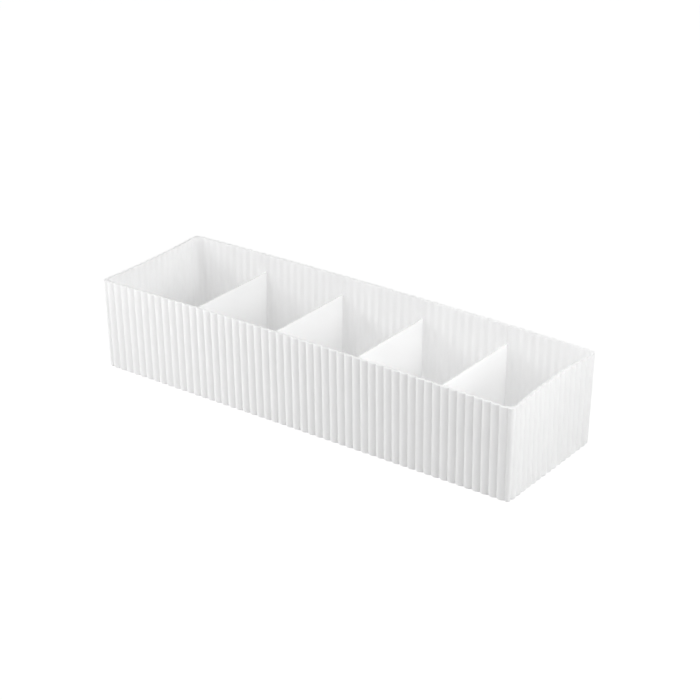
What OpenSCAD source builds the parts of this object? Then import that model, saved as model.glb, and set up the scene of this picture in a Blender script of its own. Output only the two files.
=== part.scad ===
// Reeded drawer organizer insert: one open moulded tray and four drop-in dividers.
// Millimetres. X runs along the tray, Y across it, Z up. The origin is the centre of the base.

/* [Tray walls] */
// Spacing of the half-round ribs around the outside
rib_pitch = 6; // [5:0.5:7]
// How far a rib stands out from the notch beside it
rib_h = 1.5; // [0.8:0.1:2]
// Ribs on each long wall, always an odd number
long_ribs = 53; // [47:2:61]
// Ribs on each end wall, always an odd number
end_ribs = 15; // [11:2:21]
// Height of the rim above the base
tray_h = 66.4; // [60:0.2:90]
// Wall thickness at the bottom of a notch
wall_t = 1.3; // [1.2:0.1:2]
// Thickness of the floor
floor_t = 1.8; // [1.2:0.1:3]
// How far each wall leans out from base to rim
draft = 1.6; // [0:0.1:2]
// How much of that lean the ribs of a long wall take up by spreading apart towards the rim
rib_spread = 0.8; // [0:0.1:1.5]
// How far the rim of an end wall bows inwards at its middle
end_bow = 2.2; // [0:0.1:3]

/* [Tray edges] */
// Outer corner radius at the base, over the crest of the corner rib
corner_r = 3.8; // [3.4:0.1:4.4]
// Inner corner radius
inner_corner_r = 4.5; // [3.5:0.1:6]
// Slope at the foot of the ribs
base_edge = 0.8; // [0.4:0.1:1.2]
// Slope where the inside wall meets the floor
floor_slope = 2; // [1:0.1:3]
// Depth of the shallow hollow inside the wall behind each rib
hollow = 0.25; // [0:0.05:0.3]

/* [Dividers] */
// Ribs from one divider to the next, always an odd number
cell_ribs = 11; // [7:2:11]
// Thickness of a divider
divider_t = 1.2; // [0.8:0.1:1.4]
// Height of a divider's top edge above the base
divider_top = 53; // [30:1:58]
// Width of the slot in the wall that takes the end of a divider
slot_w = 1.6; // [1.5:0.1:1.8]
// Depth of that slot where it meets the floor
slot_floor = 0.6; // [0.4:0.1:0.6]
// Depth of that slot at the rim, where it has all but run out
slot_rim = 0.1; // [0.1:0.05:0.2]
// Gap between the end of a divider and the bottom of its slot
end_gap = 0.1; // [0.1:0.05:0.15]

/* [Hidden] */

// Points along each rib, from notch to notch
steps = 6;
// Crest of the ribs to the inside face
skin = rib_h + wall_t;
// Radius of the round that a rib is part of
rib_r = (pow(rib_pitch / 2, 2) + pow(rib_h, 2)) / (2 * rib_h);
// Half of the slot's width, as a share of a rib
slot_phase = slot_w / 2 / rib_pitch;
// Half length and half width of the straight runs of ribs, between the corner ribs
run_x = long_ribs * rib_pitch / 2;
run_y = end_ribs * rib_pitch / 2;
divider_count = 4;
// Inside face to the edge of the flat underside
foot_inset = 1;
// Height at which the inside wall turns into the slope of the floor
wall_foot = floor_t + floor_slope;
// Gap between the cut-back foot of a divider and that slope
foot_gap = 0.3;

// Place along the length of divider i, counted from 1
function divider_x(i) = (i - (divider_count + 1) / 2) * cell_ribs * rib_pitch;

// Distance from the straight run to the crest of the ribs at height z
function reach(z) = corner_r + draft * z / tray_h;

// Depth of a slot at height z: it runs out from the floor to the rim, so nothing shows above a divider
function slot_depth(z) =
    slot_rim + (slot_floor - slot_rim) * (tray_h - z) / (tray_h - wall_foot);

// Place of point i along its rib, from -0.5 at one notch through 0 at the crest
function phase(i) = i / steps - 0.5;

// How far the round of a rib falls away from its crest
function rib_fall(f) = rib_r - sqrt(pow(rib_r, 2) - pow(f * rib_pitch, 2));

// Whether a notch, counted in ribs from the middle of a long wall, has a slot
function has_slot(notch) =
    len([for (i = [1:divider_count]) if (abs(divider_x(i) / rib_pitch - notch) < 0.1) i]) > 0;

// One rib per entry: heading of its wall, half run across, place along the wall in ribs,
// and whether a slot is at its start and at its end
function wall_ribs(side) = [
    let (long = side % 2 == 0, count = long ? long_ribs : end_ribs, across = long ? run_y : run_x)
    for (k = [0:count - 1])
        let (at = k - (count - 1) / 2)
        [90 * side, across, at, long && has_slot(at - 0.5), long && has_slot(at + 0.5)]
];

// Place and outward direction of a point on a straight run, at f along its rib
function run_point(rib, f) =
    let (along = (rib[2] + f) * rib_pitch, c = cos(rib[0]), s = sin(rib[0]))
    [[c * along + s * rib[1], s * along - c * rib[1]], [s, -c]];

// The same for the rib that turns a corner, which follows the wall called side
function corner_point(side, f) =
    let (turn = 90 * (side + f + 0.5) - 90)
    [[side == 0 || side == 1 ? run_x : -run_x, side == 1 || side == 2 ? run_y : -run_y],
     [cos(turn), sin(turn)]];

// The rim of an end wall leans in towards its middle, more with height
function bowed(p, z) =
    let (lean = end_bow * z / tray_h * max(0, 1 - pow(p[1] / run_y, 2)))
    [p[0] - sign(p[0]) * lean, p[1], z];

// Outside of the wall at height z, drawn in by inset. The ribs of a long wall spread along it with height
// and the rib at the corner gives way by as much, so all four walls lean alike.
function outer_point(spot, f, z, inset) =
    let (spread = rib_spread * z / tray_h,
         out = reach(z) - rib_fall(f) - inset)
    bowed([spot[0][0] * (1 + spread / run_x) + spot[1][0] * (out - spread),
           spot[0][1] + spot[1][1] * out], z);

function outer_ring(z, inset) = [
    for (side = [0:3]) each concat(
        [for (rib = wall_ribs(side), i = [0:steps - 1])
            outer_point(run_point(rib, phase(i)), phase(i), z, inset)],
        [for (i = [0:steps - 1])
            outer_point(corner_point(side, phase(i)), phase(i), z, inset)])
];

// Nearest point of the inside outline to a point of the crest line, pushed out by depth
function inner_point(spot, depth, z, inset) =
    let (crest = spot[0] + spot[1] * reach(z),
         in_r = max(0.5, inner_corner_r - inset),
         core = [run_x, run_y] + [1, 1] * (reach(z) - skin - inset - in_r),
         near = [min(max(crest[0], -core[0]), core[0]), min(max(crest[1], -core[1]), core[1])],
         out = crest - near)
    bowed(near + out * ((in_r + depth) / norm(out)), z);

// A slot borrows the two rib points on each side of its notch for its corners
function slot_shift(rib, i) =
    rib[3] && i > 0 && i < 3 ? slot_phase - 0.5 :
    rib[4] && i > 3 ? 0.5 - slot_phase :
    phase(i);

// How far the inside face is let into the wall at height z: a slot, or the hollow behind a rib
function inside_depth(rib, i, z) =
    rib[3] && i < 2 || rib[4] && i == steps - 1 ? slot_depth(z) :
    hollow * (1 + cos(360 * slot_shift(rib, i))) / 2;

function inner_ring(z, inset) = [
    for (side = [0:3]) each concat(
        [for (rib = wall_ribs(side), i = [0:steps - 1])
            inner_point(run_point(rib, slot_shift(rib, i)), inside_depth(rib, i, z), z, inset)],
        [for (i = [0:steps - 1]) inner_point(corner_point(side, phase(i)), 0, z, inset)])
];

// The inside outline with neither slots nor hollows, for the flat areas
function plain_ring(z, inset) = [
    for (side = [0:3]) each concat(
        [for (rib = wall_ribs(side), i = [0:steps - 1])
            inner_point(run_point(rib, phase(i)), 0, z, inset)],
        [for (i = [0:steps - 1])
            inner_point(corner_point(side, phase(i)), 0, z, inset)])
];

// Skin through a stack of equal rings, closed by fans from the middle of the first and the last
module loft(rings) {
    n = len(rings[0]);
    top = (len(rings) - 1) * n;
    middles = [for (ring = [rings[0], rings[len(rings) - 1]]) [0, 0, ring[0][2]]];
    bands = [
        for (r = [0:len(rings) - 2], i = [0:n - 1])
            let (a = r * n + i, b = r * n + (i + 1) % n)
            each [[a, b + n, b], [a, a + n, b + n]]
    ];
    fans = [
        for (i = [0:n - 1])
            let (next = (i + 1) % n)
            each [[top + n, i, next], [top + n + 1, top + next, top + i]]
    ];
    polyhedron(concat([for (ring = rings) each ring], middles), concat(bands, fans));
}

module tray() {
    color("white")
    loft([
        plain_ring(0, foot_inset),
        outer_ring(0, base_edge),
        outer_ring(base_edge, 0),
        outer_ring(tray_h, 0),
        inner_ring(tray_h, 0),
        inner_ring(wall_foot, 0),
        plain_ring(floor_t, floor_slope)
    ]);
}

// Middle of the tray to the inside face of a long wall at height z
function wall_inside(z) = run_y + reach(z) - skin;

// Half length of a divider at height z, up to the gap in its slot
function divider_half(z) = wall_inside(z) + slot_depth(z) - end_gap;

// A thin panel whose ends follow the slots and whose foot is cut back to clear the slope of the floor
module divider(i) {
    right = [
        [wall_inside(floor_t) - floor_slope - foot_gap, floor_t],
        [divider_half(wall_foot), wall_foot],
        [divider_half(divider_top), divider_top]
    ];
    left = [for (k = [len(right) - 1:-1:0]) [-right[k][0], right[k][1]]];
    color("whitesmoke")
    translate([divider_x(i) - divider_t / 2, 0, 0])
    rotate([90, 0, 90])
    linear_extrude(divider_t)
    polygon(concat(right, left));
}

tray();
divider(1);  // divider_1
divider(2);  // divider_2
divider(3);  // divider_3
divider(4);  // divider_4
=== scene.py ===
# %% [markdown]
# # A reeded drawer organizer
#
# The object is a long white box for a drawer: one thin moulded tray with half-round ribs all round its
# outside, and four smooth panels that drop in from above and part it into five compartments. Its packed
# CAD model is loaded as a fixed frame. This lesson builds the fine surfaces that stand for the CAD solids,
# gives them a moulded plastic finish, and sets the camera and the light.

# %% Load the frame
import math

import bmesh
import bpy
import numpy as np
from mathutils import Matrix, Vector


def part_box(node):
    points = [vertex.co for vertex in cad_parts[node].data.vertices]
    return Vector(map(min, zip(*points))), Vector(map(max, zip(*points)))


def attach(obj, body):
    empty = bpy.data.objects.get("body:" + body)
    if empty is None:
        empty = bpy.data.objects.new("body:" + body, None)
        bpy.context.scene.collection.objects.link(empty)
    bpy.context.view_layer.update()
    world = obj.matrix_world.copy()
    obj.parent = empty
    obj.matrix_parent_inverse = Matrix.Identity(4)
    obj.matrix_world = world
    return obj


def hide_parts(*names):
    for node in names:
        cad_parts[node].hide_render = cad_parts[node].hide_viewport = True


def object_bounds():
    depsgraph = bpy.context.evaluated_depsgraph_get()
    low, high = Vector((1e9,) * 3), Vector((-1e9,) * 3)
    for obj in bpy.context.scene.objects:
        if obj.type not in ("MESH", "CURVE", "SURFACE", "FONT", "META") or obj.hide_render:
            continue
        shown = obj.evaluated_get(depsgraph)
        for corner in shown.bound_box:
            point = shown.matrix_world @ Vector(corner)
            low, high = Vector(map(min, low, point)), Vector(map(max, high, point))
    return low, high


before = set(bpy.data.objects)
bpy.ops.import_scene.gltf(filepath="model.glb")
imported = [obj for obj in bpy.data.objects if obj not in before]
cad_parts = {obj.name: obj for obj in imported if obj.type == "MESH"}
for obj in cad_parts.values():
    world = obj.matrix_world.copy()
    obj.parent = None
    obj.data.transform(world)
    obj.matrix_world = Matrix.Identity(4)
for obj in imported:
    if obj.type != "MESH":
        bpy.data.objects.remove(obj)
cad_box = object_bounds()
print("CAD box:", [[round(c, 4) for c in corner] for corner in cad_box])

# %% [markdown]
# ## Sizes
#
# The height of the rim, the top of the dividers and their places are read from the frame, so the fine
# surfaces can't drift away from the solids. What a box can't tell, such as the pitch of the ribs, is written
# down here once, in metres.

# %% Driving sizes
MM = 0.001
rib_pitch = 6 * MM
rib_rise = 1.5 * MM
valley_r = 0.25 * MM
long_ribs = 53
end_ribs = 15
corner_r = 3.8 * MM
inner_corner_r = 4.5 * MM
wall_t = 1.3 * MM
floor_t = 1.8 * MM
lean = 1.6 * MM
rib_spread = 0.8 * MM
end_bow = 2.2 * MM
hollow = 0.6 * MM

rim_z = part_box("tray")[1].z
divider_names = [name for name in sorted(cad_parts) if name.startswith("divider")]
divider_boxes = [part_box(name) for name in divider_names]
divider_places = np.array([(low.x + high.x) / 2 for low, high in divider_boxes])
divider_t = divider_boxes[0][1].x - divider_boxes[0][0].x
divider_top = divider_boxes[0][1].z

run_x = long_ribs * rib_pitch / 2
run_y = end_ribs * rib_pitch / 2
skin = rib_rise + wall_t
print(f"rim at {rim_z / MM:.1f} mm, dividers at", (divider_places / MM).round(1))

# %% [markdown]
# ## From arrays to a mesh
#
# Every piece here is a sheet of points in rows and columns that closes on itself sideways, like a sleeve.
# Its first and last rows are folded flat onto a line, so that the sleeve becomes a closed bag. Working on
# whole arrays keeps the shape readable as a formula, and one helper turns any such sheet into a mesh.

# %% Sleeve helper
SHARP_ANGLE = math.radians(38)
WELD = 1e-7


def sleeve_piece(name, points):
    """Object from points[row, column, xyz], joined from the last column back to the first.

    Each face joins a point, its neighbour in the row, and the same two in the next row. Points that
    coincide, as on the fold lines, are welded, and faces that have no area left are taken out.
    """
    rows, columns, _ = points.shape
    index = np.arange(rows * columns).reshape(rows, columns)
    across = np.roll(index, -1, axis=1)
    faces = np.stack([index[:-1], across[:-1], across[1:], index[1:]], axis=-1).reshape(-1, 4)
    mesh = bpy.data.meshes.new(name)
    mesh.from_pydata(points.reshape(-1, 3), [], faces)
    work = bmesh.new()
    work.from_mesh(mesh)
    bmesh.ops.remove_doubles(work, verts=work.verts, dist=WELD)
    bmesh.ops.dissolve_degenerate(work, edges=work.edges, dist=WELD)
    bmesh.ops.recalc_face_normals(work, faces=work.faces)
    open_edges = sum(not edge.is_manifold for edge in work.edges)
    work.to_mesh(mesh)
    work.free()
    mesh.polygons.foreach_set("use_smooth", np.ones(len(mesh.polygons), bool))
    mesh.set_sharp_from_angle(angle=SHARP_ANGLE)
    piece = bpy.data.objects.new(name, mesh)
    bpy.context.scene.collection.objects.link(piece)
    triangles = sum(len(polygon.vertices) - 2 for polygon in mesh.polygons)
    print(f"{name}: {triangles} triangles, {open_edges} open edges")
    return piece


def quarter(count):
    """Angles of a quarter turn in equal steps, both ends included."""
    return np.linspace(0, math.pi / 2, count + 1)


# %% [markdown]
# ## The outline of a rib
#
# Seen from above, the wall is a row of round ribs with narrow valleys between them. A tool cuts such a
# valley with a small radius, so its bottom is round too. The outline could be drawn as points, but two arcs
# that touch describe it exactly, and they give more points where it turns faster.

# %% Rib outline
RIB_STEPS = 8
VALLEY_STEPS = 2
half_pitch = rib_pitch / 2
rib_r = (half_pitch**2 + rib_rise**2) / (2 * rib_rise)


def rib_outline():
    """Place along the wall and fall below the crest, from one valley bottom to just before the next.

    The rib is an arc of radius rib_r about a point behind its crest. The valley is an arc of radius
    valley_r about a point in front of the wall, midway between two crests. The arcs touch where the
    distance of their centres is the sum of their radii, so Pythagoras gives the valley's centre, and half
    the pitch over that sum is the sine of the angle at which one arc hands over to the other.
    """
    between = rib_r + valley_r
    valley_centre = rib_r - math.sqrt(between**2 - half_pitch**2)
    handover = math.asin(half_pitch / between)
    rib = np.linspace(-handover, handover, RIB_STEPS + 1)
    valley = np.linspace(0, handover, VALLEY_STEPS + 1)[:-1]
    valley_place = -half_pitch + valley_r * np.sin(valley)
    valley_fall = valley_centre + valley_r * np.cos(valley)
    place = np.concatenate([valley_place, rib_r * np.sin(rib), -valley_place[:0:-1]])
    fall = np.concatenate([valley_fall, rib_r * (1 - np.cos(rib)), valley_fall[:0:-1]])
    return place, fall


rib_place, rib_fall = rib_outline()
rib_columns = len(rib_place)
print(f"{rib_columns} columns a rib, valleys {rib_fall.max() / MM:.2f} mm deep")

# %% [markdown]
# ## The columns of the wall
#
# The ribs go once round the tray: along the front, round a corner on a single wide rib, up the right end,
# and so on. For each column the wall needs a point on the straight run between the corners, the direction
# that faces outwards, and the place on its rib.
#
# Inside, a shallow slot in each long wall takes the end of a divider. The columns beside a slot are drawn
# to its edges, so that the slot has true corners and needs no cut.

# %% Wall columns
slot_w = 1.35 * MM
# Columns counted from the middle of a slot: its middle, its two corners, and the first that stays in place
slot_steps = [0, 2, 3, 4]
slot_half_at = [0, slot_w / 2, slot_w / 2, rib_place[slot_steps[-1]] + half_pitch]
slot_share_at = [1, 1, 0, 0]


def long_wall_slots(along, direction):
    """Places along a long wall with the columns beside each slot drawn to its edges, and the slot's share.

    A slot lies on a valley, so it is found by counting columns from that valley. The count turns into a
    distance and a share of the slot's depth by straight lines between a few steps.
    """
    valley = (direction * divider_places / rib_pitch + long_ribs / 2) * rib_columns
    steps = np.arange(len(along))[:, None] - valley.round()
    nearest = np.abs(steps).argmin(axis=1)
    step = np.take_along_axis(steps, nearest[:, None], axis=1)[:, 0]
    count = np.abs(step)
    beside = np.sign(step) * np.interp(count, slot_steps, slot_half_at)
    drawn = direction * divider_places[nearest] + beside
    share = np.interp(count, slot_steps, slot_share_at)
    return np.where(count < slot_steps[-1], drawn, along), share


def wall_columns():
    """Core points outside and inside, outward directions, rib phases and slot shares.

    Each wall has its own bearing, a quarter turn on from the last. A wall's columns step along it rib by
    rib. A corner's columns share one core point, and their outward direction turns with the place on the
    rib. The phase counts ribs from the middle of a wall, so it is whole on a crest.
    """
    core, inner_core, outward, phase, share = [], [], [], [], []
    for side in range(4):
        bearing = side * math.pi / 2
        along_wall = np.array([round(math.cos(bearing)), round(math.sin(bearing))])
        facing = np.array([along_wall[1], -along_wall[0]])
        is_long = side % 2 == 0
        count, run, across = (long_ribs, run_x, run_y) if is_long else (end_ribs, run_y, run_x)
        along = ((np.arange(count) - (count - 1) / 2)[:, None] * rib_pitch + rib_place).ravel()
        slotted, slot = long_wall_slots(along, along_wall[0]) if is_long else (along, 0 * along)
        turn = bearing - math.pi / 2 + (rib_place / rib_pitch + 0.5) * math.pi / 2
        corner = np.tile(along_wall * run + facing * across, (rib_columns, 1))
        core += [along[:, None] * along_wall + facing * across, corner]
        inner_core += [slotted[:, None] * along_wall + facing * across, corner]
        outward += [np.tile(facing, (len(along), 1)), np.column_stack([np.cos(turn), np.sin(turn)])]
        phase += [slotted / rib_pitch, np.full(rib_columns, 0.5)]
        share += [slot, np.zeros(rib_columns)]
    return [np.concatenate(part) for part in (core, inner_core, outward, phase, share)]


core, inner_core, outward, phase, slot_share = wall_columns()
fall = np.tile(rib_fall, len(core) // rib_columns)
hollow_depth = hollow * (1 + np.cos(2 * math.pi * phase)) / 2
print(len(core), "columns round the tray")

# %% [markdown]
# ## The tray
#
# A moulded tray has no sharp edges: the ribs are rounded at the foot, the rim is rounded on both sides and
# the floor runs up into the walls in a fillet. The walls lean out so that the tray leaves its mould. As it
# cools, its end walls bow in a little towards their middle and its rim sinks a little towards the ends. All
# of this is one sleeve, from the middle of the underside, up the outside, over the rim, down the inside and
# back to the middle of the floor.

# %% Tray surface
base_edge = 0.8 * MM
rim_out_r = 0.4 * MM
rim_in_r = 0.5 * MM
rim_dip = 1.8 * MM
floor_fillet = 2 * MM
foot_inset = 1 * MM
slot_rim = 0.1 * MM
slot_floor = 0.6 * MM
slot_foot_z = floor_t + floor_fillet
least_corner_r = 0.5 * MM
FOOT_STEPS = 5
RIM_OUT_STEPS = 5
RIM_IN_STEPS = 4
FILLET_STEPS = 6
# Rows between the roundings, as shares of the way
underside_shares = [0, 0.5, 1]
outside_shares = [0.33, 0.67]
inside_shares = [0.75, 0.5, 0.25]
floor_shares = [0.67, 0.33, 0]


def reach(z):
    """Straight run to the crest of a rib: the corner's radius at the base plus the wall's lean up to z."""
    return corner_r + lean * z / rim_z


def slot_depth(z):
    """Depth of a divider's slot: it runs out towards the rim in a straight line."""
    return slot_rim + (slot_floor - slot_rim) * (rim_z - z) / (rim_z - slot_foot_z)


def bowed(xy, z):
    """Points at height z, with the end walls drawn in: most at mid width and at the rim, as a parabola."""
    drawn_in = end_bow * z / rim_z * np.clip(1 - (xy[:, 1] / run_y) ** 2, 0, None)
    return np.column_stack([xy[:, 0] - np.sign(xy[:, 0]) * drawn_in, xy[:, 1], np.full(len(xy), z)])


def outside_row(z, inset):
    """Outer face at height z: the core point plus the outward direction times reach, less the rib's fall.

    The ribs of a long wall spread along it with height, and the corner ribs give way by as much.
    """
    spread = rib_spread * z / rim_z
    out = (reach(z) - fall - inset)[:, None]
    return bowed(core * [1 + spread / run_x, 1] + outward * (out - [spread, 0]), z)


def inside_row(z, inset, relief):
    """Inner face at height z: the nearest point of a rounded rectangle to the crest line.

    relief, from 0 to 1, is how much of the slots and of the hollows behind the ribs is pushed out of it.
    """
    crest = inner_core + outward * reach(z)
    round_r = max(least_corner_r, inner_corner_r - inset)
    half = np.array([run_x, run_y]) + reach(z) - skin - inset - round_r
    near = np.clip(crest, -half, half)
    out = (crest - near) / np.linalg.norm(crest - near, axis=1)[:, None]
    depth = slot_share * slot_depth(z) + (1 - slot_share) * hollow_depth
    return bowed(near + out * (round_r + relief * depth)[:, None], z)


def folded_rows(row, shares):
    """Rows between a row's fold line and the row itself: the line runs along the middle of the tray."""
    line = row * [1, 0, 1]
    line[:, 0] = np.clip(line[:, 0], run_y - run_x, run_x - run_y)
    return [line + (row - line) * share for share in shares]


def rounding(radius, turn):
    """What a quarter circle lacks at an angle: the radius times 1 less the sine, and 1 less the cosine."""
    return radius * (1 - math.sin(turn)), radius * (1 - math.cos(turn))


def dipped(points):
    """Points with the rim lowered towards the ends as a parabola, and heights below it in proportion."""
    drop = rim_dip / rim_z * (points[..., 0] / run_x) ** 2
    points[..., 2] *= 1 - drop
    return points


def tray_points():
    """All rows of the tray in order; each rounding is a quarter circle in height and inset."""
    rows = folded_rows(inside_row(0, foot_inset, 0), underside_shares)
    for turn in quarter(FOOT_STEPS):
        inset, up = rounding(base_edge, turn)
        rows.append(outside_row(up, inset))
    for share in outside_shares:
        rows.append(outside_row(base_edge + share * (rim_z - base_edge - rim_out_r), 0))
    for turn in quarter(RIM_OUT_STEPS):
        down, inset = rounding(rim_out_r, turn)
        rows.append(outside_row(rim_z - down, inset))
    for turn in quarter(RIM_IN_STEPS)[::-1]:
        down, inset = rounding(rim_in_r, turn)
        rows.append(inside_row(rim_z - down, -inset, 1))
    for share in inside_shares:
        rows.append(inside_row(slot_foot_z + share * (rim_z - rim_in_r - slot_foot_z), 0, 1))
    for turn in quarter(FILLET_STEPS):
        up, inset = rounding(floor_fillet, turn)
        rows.append(inside_row(floor_t + up, inset, math.cos(turn)))
    rows += folded_rows(rows[-1], floor_shares)
    return dipped(np.stack(rows))


tray = sleeve_piece("tray_shell", tray_points())
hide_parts("tray")
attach(tray, "tray")

# %% [markdown]
# ## The dividers
#
# Each divider is a thin panel with softened edges. It could be a box with a bevel, but its ends lean with
# the walls and its foot is cut back to clear the floor's fillet. So its section, a tall rounded bar, is
# carried across the tray, and each height of the section travels its own distance.

# %% Divider panels
edge_r = 0.3 * MM
end_r = 0.25 * MM
end_gap = 0.1 * MM
foot_gap = 0.2 * MM
EDGE_STEPS = 4
PANEL_STEPS_UP = 8
PANEL_STEPS_ACROSS = 12


def divider_half(z):
    """Half length at height z: to the bottom of the slot, less a gap.

    Below the top of the floor's fillet it is cut back in a straight line.
    """
    wall = run_y + reach(z) - skin
    seated = wall + slot_depth(z) - end_gap
    cut_back = wall - floor_fillet - foot_gap
    return np.where(z < slot_foot_z, cut_back + (seated - cut_back) * (z - floor_t) / floor_fillet, seated)


def divider_section():
    """Corner centres and outward directions round a tall bar.

    They go up the right side, over the top, down the left side and under the foot. The bar's outline is
    each centre plus its direction times the radius of the edges.
    """
    low, high = floor_t + edge_r, divider_top - edge_r
    between = np.linspace(slot_foot_z, high, PANEL_STEPS_UP + 1)[:-1]
    turn = quarter(EDGE_STEPS)
    stretches = [
        (1, between, 0),
        (1, high, turn),
        (-1, high, turn + math.pi / 2),
        (-1, between[::-1], math.pi),
        (-1, low, turn + math.pi),
        (1, low, turn + 1.5 * math.pi),
    ]
    filled = [np.broadcast_arrays(*stretch) for stretch in stretches]
    side, z, angle = (np.concatenate(part) for part in zip(*filled))
    return side * (divider_t / 2 - edge_r), z, np.cos(angle), np.sin(angle)


def divider_points(place):
    """Rows from one end of a divider to the other: the section, drawn in where the ends are rounded."""
    centre_x, centre_z, dir_x, dir_z = divider_section()

    def row(share, inset, past_end):
        z = centre_z + dir_z * (edge_r - inset)
        x = centre_x + dir_x * (edge_r - inset)
        y = share * (divider_half(z) - end_r + past_end)
        return np.column_stack([place + x, y, z])

    turns = quarter(EDGE_STEPS)
    rounded = [row(1, end_r * (1 - math.cos(turn)), end_r * math.sin(turn)) for turn in turns]
    last = rounded[-1].copy()
    last[:, 0] = place
    right = rounded + [last]
    left = [points * [1, -1, 1] for points in right[::-1]]
    middle = [row(share, 0, 0) for share in np.linspace(-1, 1, PANEL_STEPS_ACROSS + 1)[1:-1]]
    return np.stack(left + middle + right)


dividers = []
for name, place in zip(divider_names, divider_places):
    panel = sleeve_piece(name + "_panel", divider_points(place))
    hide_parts(name)
    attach(panel, name)
    dividers.append(panel)

# %% [markdown]
# ## Shader sums as Python
#
# A material is a graph of nodes. Written out link by link it is long and hard to read, so a small class
# wraps an output and lets plus, minus and times build the Math nodes. One method adds every other kind.

# %% Shader helper


class Value:
    """One output of a material's graph; a sum with a number or another value adds a Math node."""

    def __init__(self, finish, socket):
        self.finish = finish
        self.socket = socket

    def sum(self, operation, first, second):
        return self.finish.node("ShaderNodeMath", {"operation": operation}, {0: first, 1: second})

    def __add__(self, other):
        return self.sum("ADD", self, other)

    def __sub__(self, other):
        return self.sum("SUBTRACT", self, other)

    def __rsub__(self, other):
        return self.sum("SUBTRACT", other, self)

    def __mul__(self, other):
        return self.sum("MULTIPLY", self, other)

    __radd__ = __add__
    __rmul__ = __mul__


class Finish:
    """A material under construction, or the world's, where that is given as the block."""

    def __init__(self, name, block=None):
        self.block = block or bpy.data.materials.new(name)
        self.block.use_nodes = True
        self.tree = self.block.node_tree
        self.tree.nodes.clear()

    def node(self, kind, settings=None, inputs=None, output=0):
        """Adds a node, sets its settings, then gives its sockets numbers, colours or links."""
        made = self.tree.nodes.new(kind)
        for key, value in (settings or {}).items():
            setattr(made, key, value)
        for key, value in (inputs or {}).items():
            if isinstance(value, Value):
                self.tree.links.new(value.socket, made.inputs[key])
            else:
                made.inputs[key].default_value = value
        return Value(self, made.outputs[output]) if made.outputs else None


def grey(level):
    """A neutral colour, from 0 for black to 1 for white."""
    return (level, level, level, 1)


# %% [markdown]
# ## Moulded plastic
#
# The real surface is satin white polypropylene. Up close it has a fine grain from the mould, faint clouds
# where the melt flowed, and a gloss that isn't quite even. Three noises at three scales give these: the two
# broader ones tint the colour, and the two finer ones move the roughness and lift the surface as a bump.

# %% Plastic finish
FLOW_SCALE = 22
FLOW_DETAIL = 3
CLOUD_SCALE = 90
CLOUD_DETAIL = 4
GRAIN_SCALE = 1600
GRAIN_DETAIL = 2
NOISE_MEAN = 0.5
flow_tint = 0.6
cloud_tint = 0.4
cloud_gloss = 0.16
grain_gloss = 0.06
cloud_height = 2
bump_strength = 0.5
plastic_ior = 1.49
# Sockets of the Mix node for colours: three inputs and the output
MIX_FACTOR, MIX_A, MIX_B, MIX_COLOUR = 0, 6, 7, 2


def moulded_plastic(name, pale, deep, roughness, grain):
    """White plastic between two near tints, with an uneven satin gloss and a fine mould grain.

    The tint's factor is a weighted sum of two noises. The roughness is a mean plus how far two noises are
    from theirs, and the bump's height is the grain plus the clouds.
    """
    finish = Finish(name)
    place = finish.node("ShaderNodeTexCoord", output="Object")

    def noise(scale, detail):
        return finish.node("ShaderNodeTexNoise", {}, {"Vector": place, "Scale": scale, "Detail": detail})

    flow = noise(FLOW_SCALE, FLOW_DETAIL)
    cloud = noise(CLOUD_SCALE, CLOUD_DETAIL)
    bead = noise(GRAIN_SCALE, GRAIN_DETAIL)
    tint = finish.node(
        "ShaderNodeMix",
        {"data_type": "RGBA"},
        {MIX_FACTOR: flow * flow_tint + cloud * cloud_tint, MIX_A: grey(pale), MIX_B: grey(deep)},
        MIX_COLOUR,
    )
    height = bead + cloud * cloud_height
    relief = finish.node(
        "ShaderNodeBump", {}, {"Strength": bump_strength, "Distance": grain, "Height": height}
    )
    gloss = roughness + (cloud - NOISE_MEAN) * cloud_gloss + (bead - NOISE_MEAN) * grain_gloss
    surface = finish.node(
        "ShaderNodeBsdfPrincipled",
        {},
        {"Base Color": tint, "Roughness": gloss, "Normal": relief, "IOR": plastic_ior},
    )
    finish.node("ShaderNodeOutputMaterial", {}, {"Surface": surface})
    return finish.block


tray_plastic = moulded_plastic("tray_plastic", pale=0.97, deep=0.955, roughness=0.42, grain=0.02 * MM)
divider_plastic = moulded_plastic(
    "divider_plastic", pale=0.97, deep=0.957, roughness=0.36, grain=0.012 * MM
)
tray.data.materials.append(tray_plastic)
for panel in dividers:
    panel.data.materials.append(divider_plastic)
print("finishes:", tray_plastic.name, divider_plastic.name)

# %% [markdown]
# ## Camera
#
# The picture is square. The camera stands to the right of the front, about twenty-five degrees up, far away
# with a long lens, so that the long edges hardly converge.

# %% Camera
view_azimuth = 306.1
view_elevation = 25.48
view_distance = 1.3493
view_target = Vector((0.4, 10.5, 34.8)) * MM
lens = 104.67


def heading(azimuth, elevation):
    """Unit vector towards a place in the sky, from two angles in degrees.

    The azimuth is 0 at the right, 90 at the back, 180 at the left and 270 at the front.
    """
    a, e = math.radians(azimuth), math.radians(elevation)
    return Vector((math.cos(a) * math.cos(e), math.sin(a) * math.cos(e), math.sin(e)))


def aim(item, target, azimuth, elevation, distance):
    """Sets a camera or lamp at a distance from its target and turns its own -Z axis towards it."""
    way = heading(azimuth, elevation)
    item.location = target + way * distance
    item.rotation_euler = way.to_track_quat("Z", "Y").to_euler()


camera_data = bpy.data.cameras.new("camera")
camera_data.lens = lens
camera = bpy.data.objects.new("camera", camera_data)
bpy.context.scene.collection.objects.link(camera)
aim(camera, view_target, view_azimuth, view_elevation, view_distance)
bpy.context.scene.camera = camera
print("camera at", [round(c, 3) for c in camera.location])

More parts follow.
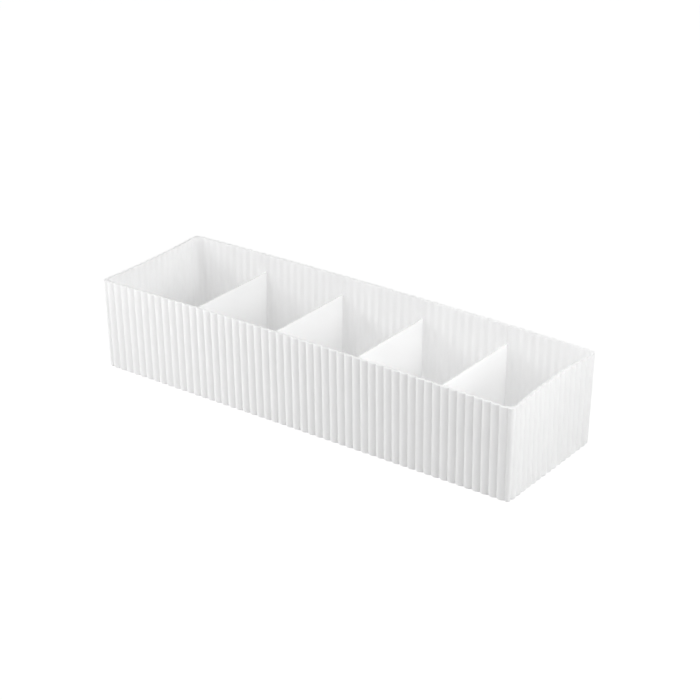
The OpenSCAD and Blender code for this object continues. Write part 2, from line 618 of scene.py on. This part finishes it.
# %% [markdown]
# ## Light
#
# White ribs show only by their shading, so the main lamp is far away on the left and grazes the front
# wall: each rib gets a bright flank and a dark one. A second far lamp at the front left softens that, and a
# near one low at the front left makes the left end of the wall brighter than the right. Two lamps on the
# right light the end wall, one at the back right lights the inside, and a weak one in front fills. The light
# goes to and fro between the white walls many times, so more bounces than usual are followed.

# %% Softboxes
diffuse_bounces = 16
all_bounces = 20
scene = bpy.context.scene
scene.view_settings.view_transform = "Standard"
scene.cycles.diffuse_bounces = diffuse_bounces
scene.cycles.max_bounces = all_bounces
light_centre = Vector((0, 0, rim_z / 2))


def softbox(name, azimuth, elevation, distance, size, share):
    """Square area lamp aimed at the tray.

    A white sheet that faces the lamp renders at about that share of white: the light that reaches it is the
    power over pi times the squared distance, and a white sheet gives back one part in pi of what it gets.
    """
    data = bpy.data.lights.new(name, "AREA")
    data.size = size
    data.energy = share * math.pi**2 * distance**2
    lamp = bpy.data.objects.new(name, data)
    lamp.visible_camera = False
    aim(lamp, light_centre, azimuth, elevation, distance)
    scene.collection.objects.link(lamp)


# Name, azimuth and elevation in degrees, distance and size in metres, share of white
softbox("left_key", 196, 30, 5.0, 1.2, 0.335)
softbox("front_key", 250, 40, 5.0, 1.2, 0.125)
softbox("front_left_near", 240, 12, 0.4, 0.25, 0.265)
softbox("front", 295, 45, 1.5, 0.9, 0.085)
softbox("right_side", 0, 25, 1.5, 0.9, 0.27)
softbox("right_near", 349, 33, 0.6, 0.4, 0.23)
softbox("back_right", 65, 25, 1.5, 0.6, 0.225)

# %% [markdown]
# ## World and floor
#
# A little light comes from everywhere. The picture's ground is white, but white paper would throw much light
# back up at the tray. So the floor is grey to the light that falls on it, and only rays that make a picture
# of it see a white glow, with enough of the paper mixed in to keep a faint shadow of the tray.

# %% World and floor
ambient = 0.18
floor_shade = 0.12
paper_level = 0.55
glow_strength = 1.1
floor_half = 1.5
floor_gap = 0.05 * MM


def seen_rays(finish):
    """1 for rays that end in a picture of the ground: from the camera, a reflection or a clear piece."""
    path = finish.node("ShaderNodeLightPath", output="Is Camera Ray")
    rays = path.socket.node.outputs
    shown = path + Value(finish, rays["Is Glossy Ray"]) + Value(finish, rays["Is Transmission Ray"])
    return finish.node("ShaderNodeClamp", {}, {"Value": shown})


scene.world = bpy.data.worlds.new("tent")
tent = Finish("tent", scene.world)
strength = seen_rays(tent) * (1 - ambient) + ambient
sky = tent.node("ShaderNodeBackground", {}, {"Color": grey(1), "Strength": strength})
tent.node("ShaderNodeOutputWorld", {}, {"Surface": sky})

ground = Finish("pale_ground")
paper = ground.node("ShaderNodeBsdfDiffuse", {}, {"Color": grey(paper_level)})
glow = ground.node("ShaderNodeEmission", {}, {"Color": grey(1), "Strength": glow_strength})
glow_share = seen_rays(ground) * (1 - floor_shade)
mixed = ground.node("ShaderNodeMixShader", {}, {0: glow_share, 1: paper, 2: glow})
ground.node("ShaderNodeOutputMaterial", {}, {"Surface": mixed})

floor_z = cad_box[0].z - floor_gap
corners = [(-1, -1), (1, -1), (1, 1), (-1, 1)]
floor_points = [(floor_half * x, floor_half * y, floor_z) for x, y in corners]
floor_mesh = bpy.data.meshes.new("floor")
floor_mesh.from_pydata(floor_points, [], [(0, 1, 2, 3)])
floor_mesh.materials.append(ground.block)
floor = bpy.data.objects.new("floor", floor_mesh)
scene.collection.objects.link(floor)
print(f"floor {2 * floor_half:.1f} m wide, {floor_gap / MM:.2f} mm under the tray")
